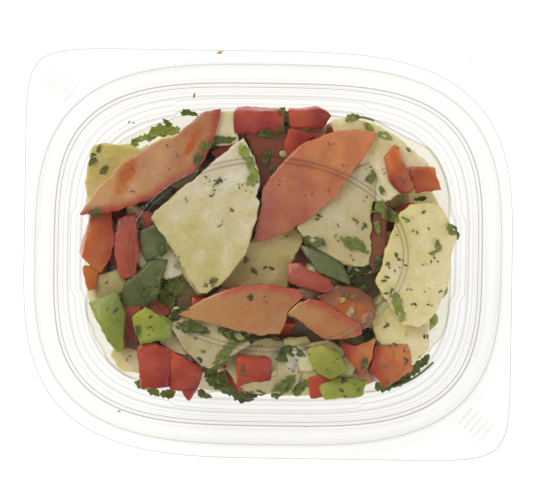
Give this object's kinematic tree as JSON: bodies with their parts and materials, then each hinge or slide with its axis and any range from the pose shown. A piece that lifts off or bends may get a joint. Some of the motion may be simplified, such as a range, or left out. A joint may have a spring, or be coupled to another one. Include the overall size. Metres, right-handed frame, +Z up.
{
  "type": "tub of potato salad",
  "caption": "Potato salad with tomato, peppers and parsley in a shut clear tub: a rounded rectangular moulded base with a press-on lid that has two corner tabs.",
  "frame": {"origin": "centre of the flat foot under the tub, on the surface that it stands on", "axes": "+X along the tub's length, +Y across it, +Z up through the lid"},
  "size_m": [0.1422, 0.1186, 0.0455],
  "materials": {
    "clear_plastic_tub": "clear thermoformed PET sheet, glossy and almost colourless",
    "clear_plastic_lid": "clear thermoformed PET sheet, thinner than the tub, glossy",
    "dressed_salad": "cut boiled potato, tomato, peppers and herbs under a thin oily dressing: moist, soft gloss"
  },
  "bodies": {
    "root": {"tub": "clear_plastic_tub", "lid": "clear_plastic_lid", "salad_heap": "dressed_salad"}
  },
  "joints": []
}
